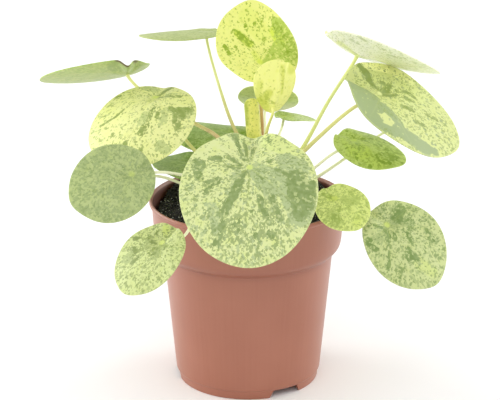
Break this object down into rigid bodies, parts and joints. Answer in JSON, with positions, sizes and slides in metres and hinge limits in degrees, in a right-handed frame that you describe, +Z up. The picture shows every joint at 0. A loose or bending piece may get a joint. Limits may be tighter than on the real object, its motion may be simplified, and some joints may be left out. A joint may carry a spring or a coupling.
{
  "type": "potted chinese money plant",
  "caption": "Chinese money plant with round, shield-shaped, cream and green marbled leaves on long stalks, growing in a plain terracotta-coloured plastic pot.",
  "frame": {"origin": "centre of the underside of the pot, on the surface that it stands on", "axes": "+Z up along the pot's axis, -Y towards the viewer of the picture's side, +X to that viewer's right"},
  "size_m": [0.2531, 0.198, 0.2314],
  "materials": {
    "pot_plastic": "semi-matte moulded plastic, terracotta colour, with faint upright flow streaks",
    "soil": "moist dark peat with small pale grains",
    "stem": "fleshy green-brown stem with the rings of shed leaves",
    "leaf_stalk": "smooth pale yellow-green stalk, olive to pinkish-brown lower down",
    "leaf_marbled": "thick, half-glossy leaf, cream and pale green marbled with grey-green and dark green",
    "leaf_green": "thick, half-glossy leaf, mid green with paler mottling",
    "leaf_young": "young, soft leaf, yellow with a greener base"
  },
  "bodies": {
    "root": {"pot": "pot_plastic", "potting_soil": "soil", "main_stem": "stem", "blade_front": "leaf_marbled", "stalk_front": "leaf_stalk", "blade_left_lower": "leaf_marbled", "stalk_left_lower": "leaf_stalk", "blade_left_mid": "leaf_marbled", "stalk_left_mid": "leaf_stalk", "blade_front_left": "leaf_marbled", "stalk_front_left": "leaf_stalk", "blade_right_low": "leaf_marbled", "stalk_right_low": "leaf_stalk", "blade_right_rim": "leaf_marbled", "stalk_right_rim": "leaf_stalk", "blade_right_large": "leaf_marbled", "stalk_right_large": "leaf_stalk", "blade_right_mid": "leaf_green", "stalk_right_mid": "leaf_stalk", "blade_right_top": "leaf_marbled", "stalk_right_top": "leaf_stalk", "blade_top_left": "leaf_marbled", "stalk_top_left": "leaf_stalk", "blade_far_left": "leaf_green", "stalk_far_left": "leaf_stalk", "blade_back": "leaf_green", "stalk_back": "leaf_stalk", "blade_back_right": "leaf_green", "stalk_back_right": "leaf_stalk", "blade_top": "leaf_marbled", "stalk_top": "leaf_stalk", "blade_young_cupped": "leaf_young", "stalk_young_cupped": "leaf_stalk", "blade_young_rolled": "leaf_young", "stalk_young_rolled": "leaf_stalk", "blade_back_left": "leaf_green", "stalk_back_left": "leaf_stalk", "blade_left_small": "leaf_green", "stalk_left_small": "leaf_stalk", "blade_left_hidden": "leaf_marbled", "stalk_left_hidden": "leaf_stalk", "blade_right_hidden": "leaf_marbled", "stalk_right_hidden": "leaf_stalk"}
  },
  "joints": []
}
